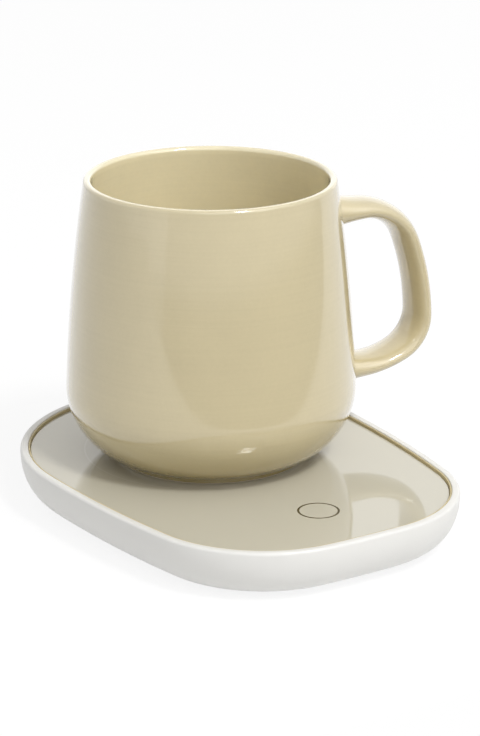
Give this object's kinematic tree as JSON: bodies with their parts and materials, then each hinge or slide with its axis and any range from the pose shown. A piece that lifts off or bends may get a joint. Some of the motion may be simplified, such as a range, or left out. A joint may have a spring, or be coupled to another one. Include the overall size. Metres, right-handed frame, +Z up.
{
  "type": "electric mug warmer",
  "caption": "Low electric mug warmer with a recessed glass deck, touch key and heated zone, and a glazed mug standing on it.",
  "frame": {"origin": "on the table, under the middle of the warmer's body, in the plane of the feet", "axes": "+Z up; -Y towards the user, the end with the touch key; +Y towards the power socket; the body's length runs along Y"},
  "size_m": [0.1354, 0.1556, 0.1074],
  "materials": {
    "shell_white": "satin-gloss moulded",
    "deck_glass": "polished, white-backed",
    "gasket_olive": "matt moulded",
    "frame_grey": "moulded",
    "pad_grey": "soft matt",
    "plate_aluminium": "machined",
    "sheet_mica": "satin",
    "track_foil": "etched",
    "insulation_felt": "fibrous",
    "shield_steel": "pressed sheet",
    "screw_steel": "zinc plated",
    "sensor_silicone": "soft matt",
    "sensor_body": "dipped",
    "fuse_metal": "tinned",
    "board_green": "solder mask",
    "spring_steel": "drawn wire",
    "tube_clear": "clear moulded",
    "indicator_lens": "diffuse",
    "chip_black": "moulded",
    "capacitor_can": "drawn",
    "connector_white": "moulded",
    "socket_metal": "plated",
    "lead_white": "sleeved",
    "lead_black": "sleeved",
    "lead_red": "sleeved",
    "foot_rubber": "matt",
    "mug_glaze": "glossy glaze"
  },
  "bodies": {
    "warmer": {"housing": "shell_white", "deck_frame": "frame_grey", "deck_gasket": "gasket_olive", "glass_deck": "deck_glass", "thermal_pad": "pad_grey", "heating_plate": "plate_aluminium", "heater_sheet": "sheet_mica", "heater_track": "track_foil", "insulation_pad": "insulation_felt", "heat_shield": "shield_steel", "shield_screws": "screw_steel", "sensor_block": "sensor_silicone", "thermistor": "sensor_body", "thermal_fuse": "fuse_metal", "control_board": "board_green", "board_screws": "screw_steel", "touch_spring": "spring_steel", "key_light_tube": "tube_clear", "key_indicator": "indicator_lens", "controller_chip": "chip_black", "power_transistor": "chip_black", "filter_capacitor": "capacitor_can", "socket_board": "board_green", "socket_screws": "screw_steel", "power_socket": "socket_metal", "heater_connector": "connector_white", "sensor_connector": "connector_white", "power_connector": "connector_white", "socket_connector": "connector_white", "heater_leads": "lead_white", "sensor_leads": "lead_black", "power_leads": "lead_red", "case_screws": "screw_steel", "rubber_feet": "foot_rubber"},
    "mug": {"mug_body": "mug_glaze", "mug_handle": "mug_glaze"}
  },
  "joints": [
    {"name": "mug_lift", "type": "slide", "parent": "warmer", "child": "mug", "axis": [0, 0, 1], "range_m": [0, 0.12]}
  ]
}
